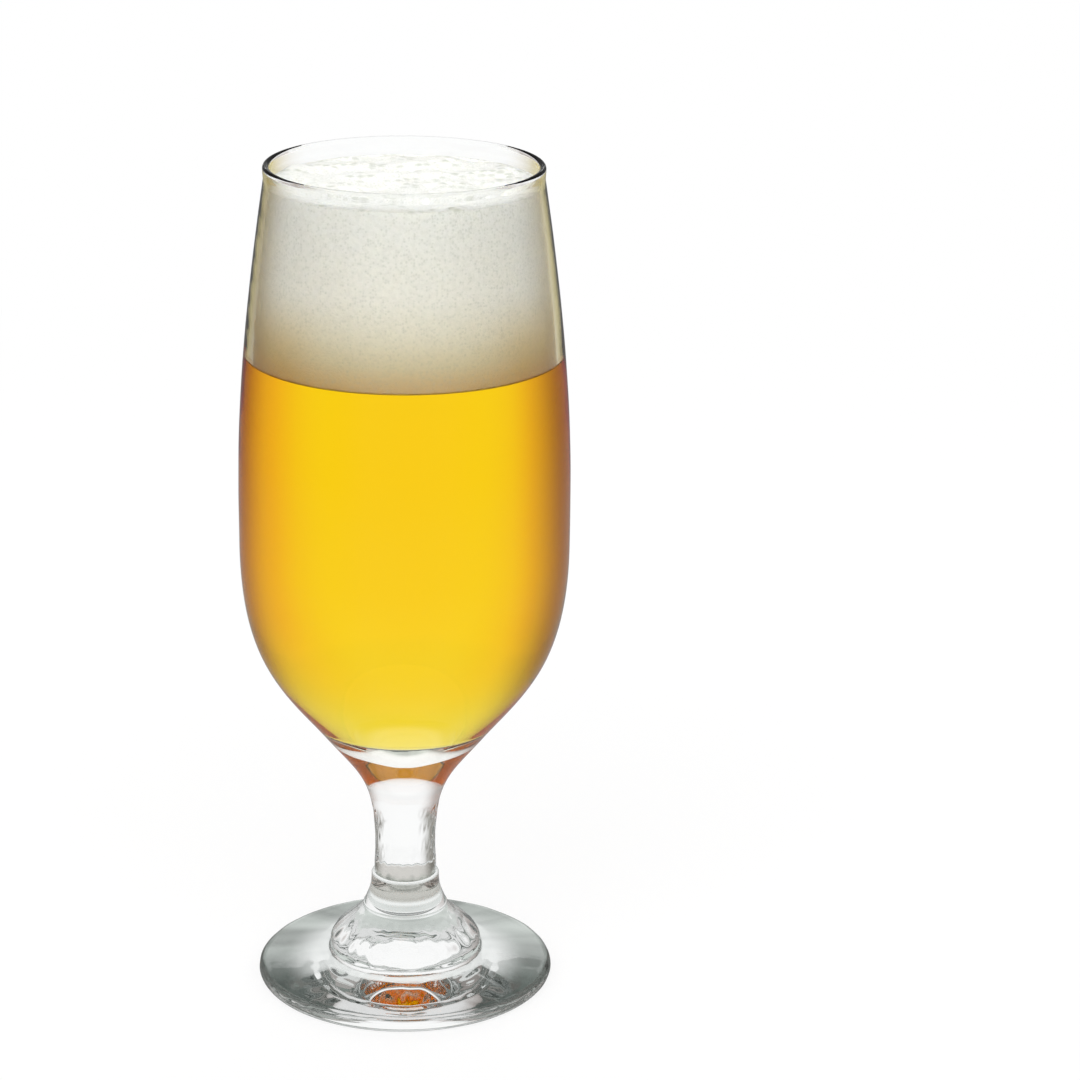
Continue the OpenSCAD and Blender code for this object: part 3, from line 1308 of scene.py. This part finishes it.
@dataclass
class Studio:
    """Pale floor, white surroundings and soft lamps.

    From the axis out, the floor shows painted light under the dome, a painted shadow ring that goes
    to a darker painted shadow at the front along Y, and painted shade at the sides, all seen only in
    the glass. A pair is where one tone goes over into the next, in metres or, for the dark sides, in
    degrees off the Y axis. Painted radial streaks have a scale, a detail and a share.
    """

    floor_radius: float = 4.0
    floor_colour: Colour = (0.88, 0.88, 0.88)
    floor_roughness: float = 0.9
    drop: float = 0.00005
    # Painted shadow under the foot, darker to the front, and painted light under the dome, all seen only in
    # the glass.
    painted_foot_shadow_colour: Colour = (0.64, 0.68, 0.65)
    painted_front_shadow_colour: Colour = (0.08, 0.10, 0.09)
    painted_dome_light_colour: Colour = (0.90, 0.92, 0.91)
    # Painted shade at the sides, for the dark surroundings seen in the glass.
    painted_side_shade_colour: Colour = (0.28, 0.27, 0.24)
    left_colour: Colour = (0.52, 0.47, 0.45)
    right_colour: Colour = (0.70, 0.66, 0.64)
    # Spans of the painted light under the dome, the painted front shadow and the painted shadow ring, in
    # metres.
    middle: Point = (0.018, 0.027)
    front: Point = (0.022, -0.016)
    near: Point = (0.034, 0.044)
    # Span where the floor goes over into the painted side shade, in metres.
    painted_side_shade_span: Point = (0.14, 0.26)
    shadow: Point = (0.15, 0.6)
    shadow_white: float = 0.8
    # Painted radial streaks of light and shade under the foot.
    streaks: tuple[float, float, float] = (2.6, 3.0, 0.25)
    painted_streak_span: Point = (0.35, 0.65)
    sides: Point = (22.0, 55.0)
    side_shift: float = 0.05
    mirrored_light: float = 0.20
    sky: Stops = ((0.50, WHITE), (0.86, WHITE), (0.90, (0.40, 0.43, 0.42)), (0.95, (0.10, 0.13, 0.12)))
    ambient: float = 0.38
    front_light: float = 2.7
    back_light: float = 1.2
    bounces: int = 24
    lamps: tuple[Lamp, ...] = (
        Lamp("key_lamp", (-0.35, -0.7, 0.95), 0.6, 0.8),
        Lamp("top_lamp", (0.1, 0.1, 1.1), 0.5, 0.2),
    )

    def build_floor(self) -> None:
        """Makes the floor: white with the glass's shadow, and painted light and shade seen in the glass."""
        reach = (-self.floor_radius, self.floor_radius)
        corners = [(x, y, -self.drop) for x in reach for y in reach]
        floor = put("floor", bpy.data.meshes.new("floor"))
        floor.data.from_pydata(corners, [], [(0, 2, 3, 1)])
        material, desk, shader = new_material("pale_floor")
        floor.data.materials.append(material)
        desk.fill(shader, Base_Color=self.floor_colour, Roughness=self.floor_roughness,
                  Specular_IOR_Level=0.0)
        rays = EyeRays.of(desk)
        place = desk.place()
        far = desk.vector("LENGTH", place)["Value"]
        share, colour = self.beside(desk, place)
        # Painted shade at the sides, for the dark surroundings seen in the glass.
        side = desk.mix(share, WHITE, desk.mix(desk.span(far, *self.painted_side_shade_span), self.painted_side_shade_colour, colour))
        # Painted shadow and light under the foot, inside the painted side shade.
        under = desk.mix(desk.span(far, *self.near), self.painted_light_under_foot(desk, place, far), side)
        through = desk.most(rays.clear, rays.mirrored)
        dimmed = desk.math("SUBTRACT", 1.0, desk.times(rays.mirrored, 1 - self.mirrored_light))
        white = desk.fill(desk.add("Emission"), Color=desk.mix(through, WHITE, under), Strength=dimmed)
        open_floor = desk.span(far, *self.shadow, self.shadow_white, 1.0)
        shown = desk.times(desk.most(rays.direct, through), desk.most(rays.clear, open_floor))
        mixed = desk.work("MixShader", shown, shader.outputs[0], white.outputs[0])
        desk.fill(desk.find("OUTPUT_MATERIAL"), Surface=mixed)

    def painted_light_under_foot(self, desk: Desk, place: Socket, far: Socket) -> Socket:
        """Painted light and shadow under the foot: pale under the dome, streaked and darker to the front.

        Args:
            desk: Desk of the floor's tree.
            place: Place on the floor.
            far: Its distance from the axis.

        Returns:
            The colour.
        """
        front = desk.span(desk.axes(place)[1], *self.front)
        # Painted shadow ring, darker to the front, streaked, with painted light under the dome.
        ring = desk.mix(front, self.painted_foot_shadow_colour, self.painted_front_shadow_colour)
        scale, detail, share = self.streaks
        streak = desk.noise(desk.vector("NORMALIZE", place)[0], scale, detail)
        tone = desk.span(streak, *self.painted_streak_span, 1 - share, 1 + share)
        streaked = desk.tinted(ring, desk.work("CombineXYZ", tone, tone, tone))
        return desk.mix(desk.span(far, *self.middle), self.painted_dome_light_colour, streaked)

    def beside(self, desk: Desk, place: Socket) -> tuple[Socket, Socket]:
        """Darker surroundings at both sides of the glass.

        Args:
            desk: Desk of the tree.
            place: Place or direction from the glass.

        Returns:
            Share that is 0 straight before and behind the glass and eases to 1 at its sides, from
            the sine of the angle off the Y axis, and the side's colour.
        """
        flat = desk.vector("MULTIPLY", place, (1.0, 1.0, 0.0))[0]
        across = desk.axes(desk.vector("NORMALIZE", flat)[0])[0]
        aside = desk.math("ABSOLUTE", desk.math("SUBTRACT", across, self.side_shift))
        share = desk.span(aside, *(math.sin(math.radians(angle)) for angle in self.sides))
        return share, desk.mix(desk.math("GREATER_THAN", across, 0.0), self.left_colour, self.right_colour)

    def build_world(self) -> None:
        """White surroundings for the eye and the glass, an even soft light for matt surfaces.

        Seen through glass, the surroundings darken overhead, as above a studio table. Matt surfaces
        get light from all sides, more of it from the front than from behind.
        """
        world = bpy.data.worlds.new("studio")
        bpy.context.scene.world = world
        world.use_nodes = True
        desk = Desk(world.node_tree)
        rays = EyeRays.of(desk)
        way = desk.place("Generated")
        _, depth, rise = desk.axes(way)
        height = desk.math("MULTIPLY_ADD", rise, 0.5, 0.5)
        share, colour = self.beside(desk, way)
        sky = desk.tinted(desk.ramp(height, self.sky), desk.mix(share, WHITE, colour))
        front = desk.times(desk.span(depth, -1.0, 0.0, 1.0, 0.0), self.front_light)
        back = desk.times(desk.span(depth, 0.0, 1.0), self.back_light)
        soft = desk.math("ADD", desk.math("ADD", front, back), self.ambient)
        dim = desk.mix(rays.mirrored, sky, desk.tinted(sky, (self.mirrored_light,) * 3))
        light = desk.mix(desk.most(rays.clear, rays.mirrored), soft, dim)
        desk.fill(desk.find("BACKGROUND"), Color=desk.mix(rays.direct, light, WHITE), Strength=1.0)

    def build(self) -> None:
        """Builds the floor, the world and the lamps, and sets the view and the light's bounces."""
        self.build_floor()
        self.build_world()
        for lamp in self.lamps:
            lamp.build()
        bpy.context.scene.view_settings.view_transform = "Standard"
        paths = bpy.context.scene.cycles
        paths.max_bounces = paths.glossy_bounces = paths.transmission_bounces = self.bounces


def main() -> None:
    """Builds the studio, then the goblet and its drink."""
    logging.basicConfig(level=logging.INFO, format="%(name)s: %(message)s")
    PhotoCamera().build()
    Studio().build()
    groups = SharedGroups()
    goblet = Goblet()
    beer = Beer(goblet)
    foam = Foam(goblet)
    fused = FusedFinish().make()
    # The foot's dark grey-green edges, its darker band at the neck and its dimmed inner bounces are painted
    # shade.
    foot_glass = GlassFinish("foot_glass", edge=EdgeShadeTint((0.12, 0.15, 0.14), 0.5),
                             collar_shade=(19.6, 23.6), bounce_shade=(2.0, 6.5))
    # Light bounced about inside the stem is darkened: painted shade.
    stem_glass = GlassFinish("stem_glass", bounce_shade=(3.0, 6.5))
    # Amber-brown painted shade where the bowl is seen along its skin, fading in between 66 and 82 mm.
    bowl_glass = GlassFinish("bowl_glass", edge=EdgeShadeTint((0.47, 0.36, 0.09), 0.32, 0.80, 66.0, 82.0))
    # Warm film over the glass above the beer: a beer film's tint with painted shade of the foam's sides.
    film = EdgeShadeTint((0.88, 0.68, 0.38), 0.035, 0.169, 161.0, 146.0)
    dress(Foot().build(goblet.stem_radius(goblet.stem_z)), Node.FOOT,
          {Face.SHOWN: foot_glass.make(groups), Face.FUSED: fused})
    dress(goblet.build_stem(), Node.STEM,
          {Face.SHOWN: stem_glass.make(groups), Face.FUSED: fused})
    dress(goblet.build_bowl(beer.top_z), Node.BOWL,
          {Face.SHOWN: bowl_glass.make(groups), Face.FUSED: fused,
           # The lip's grey-green edge colour is painted shade where it is seen along its skin.
           Face.LIP: GlassFinish("lip_glass", edge=EdgeShadeTint(start=0.85), ior=1.2).make(groups),
           Face.FILMED: replace(bowl_glass, name="beer_film_and_shade_glass", film=film).make(groups),
           Face.WETTED: replace(bowl_glass, name="wetted_glass", wetted=True).make(groups)})
    dress(beer.build(), Node.BEER, {Face.SHOWN: BeerFinish().make(groups)})
    # The foam's underside gets a brighter copy with a painted glow.
    dress(foam.build(), Node.FOAM_HEAD,
          {Face.SHOWN: FoamFinish(foam.low_z, foam.high_z).make(groups),
           Face.WETTED: PaintedGlowFoamFinish().make(groups)})


if __name__ == "__main__":
    main()
